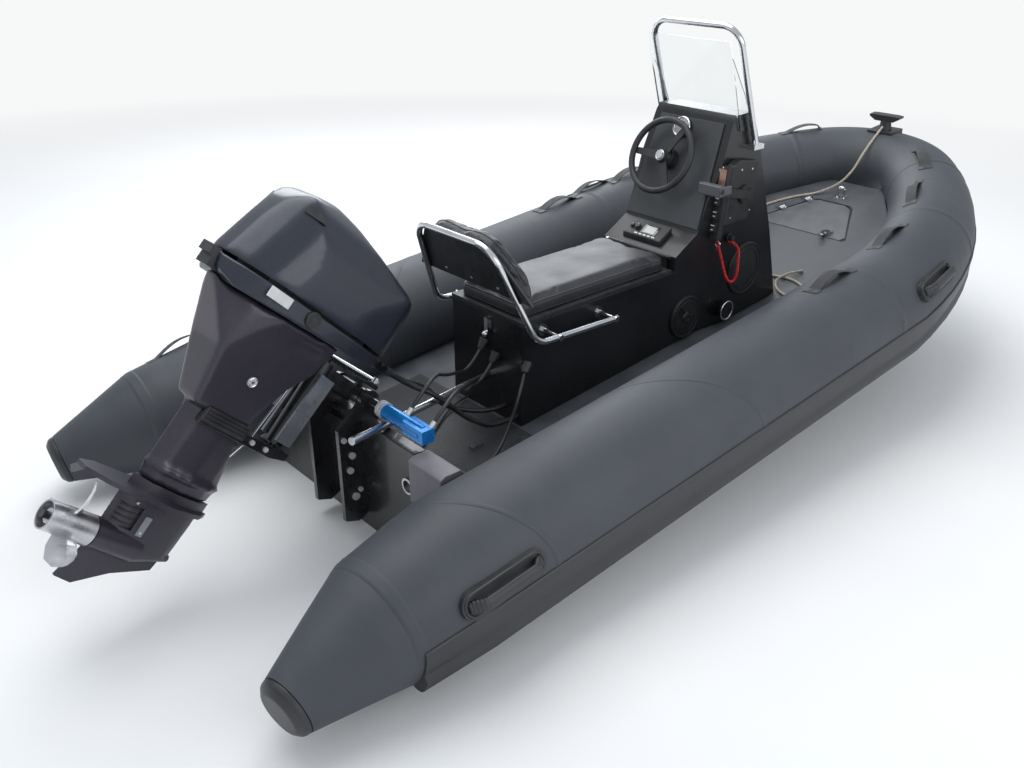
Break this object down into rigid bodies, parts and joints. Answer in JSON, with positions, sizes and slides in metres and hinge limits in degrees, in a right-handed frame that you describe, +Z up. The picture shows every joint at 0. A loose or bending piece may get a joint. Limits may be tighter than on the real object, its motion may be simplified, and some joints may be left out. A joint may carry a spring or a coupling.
{
  "type": "rigid inflatable boat",
  "caption": "Small rigid inflatable boat with a black tube collar, steering console, jockey seat with backrest, hydraulic steering and a tilted outboard motor.",
  "frame": {"origin": "on the centreline at the waterline, under the aft face of the transom", "axes": "+X to the bow, +Y to port, +Z up"},
  "size_m": [4.7575, 2.0884, 1.8428],
  "materials": {
    "anodised_blue": "anodised",
    "black_plastic": "satin",
    "bracket_black": "gloss",
    "cap_rubber": "satin",
    "cheek_grey": "gloss",
    "chrome": "polished",
    "clear_acrylic": "clear",
    "console_gelcoat": "gloss",
    "cowl_blueblack": "metallic gloss",
    "deck_grey": "satin",
    "deck_mat": "matt",
    "engine_grey": "rough",
    "engine_trim": "satin",
    "fascia_panel": "satin",
    "handle_rubber": "satin",
    "hatch_grey": "textured",
    "hose_black": "satin",
    "hull_gelcoat": "gloss",
    "kill_cord_red": "gloss",
    "leg_purplegrey": "metallic gloss",
    "paddle_alloy": "bright",
    "prop_steel": "bright",
    "rope_tan": "braided",
    "stainless": "polished",
    "strake_rubber": "satin",
    "strap_webbing": "satin",
    "transom_black": "gloss",
    "tube_fabric": "coated fabric, satin",
    "vinyl": "satin",
    "wheel_rubber": "satin"
  },
  "bodies": {
    "boat": {"backrest_board": "black_plastic", "backrest_frame": "stainless", "backrest_pad": "vinyl", "bow_bitt": "handle_rubber", "bow_rope": "rope_tan", "bracket_fittings": "stainless", "clamp_bracket": "bracket_black", "console": "console_gelcoat", "console_hoop": "stainless", "control_box": "black_plastic", "deck": "deck_grey", "deck_fittings": "stainless", "deck_hose": "hose_black", "deck_mat": "deck_mat", "fascia": "fascia_panel", "gauge": "black_plastic", "hand_straps": "strap_webbing", "helm": "black_plastic", "hose_boots": "black_plastic", "hull": "hull_gelcoat", "hydraulic_hoses": "hose_black", "instrument_unit": "black_plastic", "kill_cord": "kill_cord_red", "lifting_handles": "handle_rubber", "paddle_shaft": "paddle_alloy", "rigging_cables": "hose_black", "rub_strake": "strake_rubber", "seat_fittings": "stainless", "side_hatches": "black_plastic", "steering_cylinder": "anodised_blue", "switch_strip": "black_plastic", "throttle_lever": "black_plastic", "transom": "transom_black", "transom_knees": "deck_grey", "tube_collar": "tube_fabric", "tube_end_caps": "cap_rubber", "windscreen": "clear_acrylic"},
    "bow_hatch": {"bow_hatch_lid": "hatch_grey", "hatch_furniture": "stainless"},
    "engine": {"cowl_pan": "cowl_blueblack", "cowl_top": "cowl_blueblack", "engine_bolts": "stainless", "engine_trim": "engine_trim", "gearcase": "leg_purplegrey", "lower_mount": "bracket_black", "midsection": "leg_purplegrey", "powerhead": "engine_grey", "shift_rod": "stainless", "steering_arm": "bracket_black"},
    "propeller": {"propeller": "prop_steel"},
    "seat_lid": {"seat_board": "black_plastic", "seat_cushion": "vinyl"},
    "link": {"steering_link": "stainless"},
    "helm_wheel": {"steering_wheel": "wheel_rubber", "wheel_cap": "chrome"},
    "swivel": {"swivel_bracket": "bracket_black", "swivel_cheeks": "cheek_grey"}
  },
  "joints": [
    {"name": "outboard_tilt", "type": "hinge", "parent": "boat", "child": "swivel", "pos_m": [0.04, 0, 0.5], "axis": [0, 1, 0], "range_deg": [-45, 15], "deforming": ["rigging_cables"]},
    {"name": "outboard_steer", "type": "hinge", "parent": "swivel", "child": "engine", "pos_m": [-0.08021, 0, 0.62021], "axis": [0.7071, 0, 0.7071], "range_deg": [-30, 30]},
    {"name": "propeller_spin", "type": "hinge", "parent": "engine", "child": "propeller", "pos_m": [-0.96621, 0, 0.40595], "axis": [0.7071, 0, -0.7071], "continuous": true},
    {"name": "steering_link_slide", "type": "slide", "parent": "swivel", "child": "link", "axis": [0, 1, 0], "range_m": [-0.12, 0.12]},
    {"name": "steering_wheel_turn", "type": "hinge", "parent": "boat", "child": "helm_wheel", "pos_m": [1.69002, 0.05, 1.06194], "axis": [-0.9135, 0, 0.4067], "range_deg": [-540, 540]},
    {"name": "seat_lid_hinge", "type": "hinge", "parent": "boat", "child": "seat_lid", "pos_m": [1.517, 0, 0.698], "axis": [0, 1, 0], "range_deg": [0, 50]},
    {"name": "bow_hatch_hinge", "type": "hinge", "parent": "boat", "child": "bow_hatch", "pos_m": [2.77737, 0.2787, 0.52782], "axis": [-0.8613, 0.4518, -0.2325], "range_deg": [0, 95]}
  ],
  "couplings": [
    {"joint": "steering_link_slide", "follows": "outboard_steer", "m_per_rad": 0.2215},
    {"joint": "steering_wheel_turn", "follows": "outboard_steer", "ratio": 18}
  ]
}
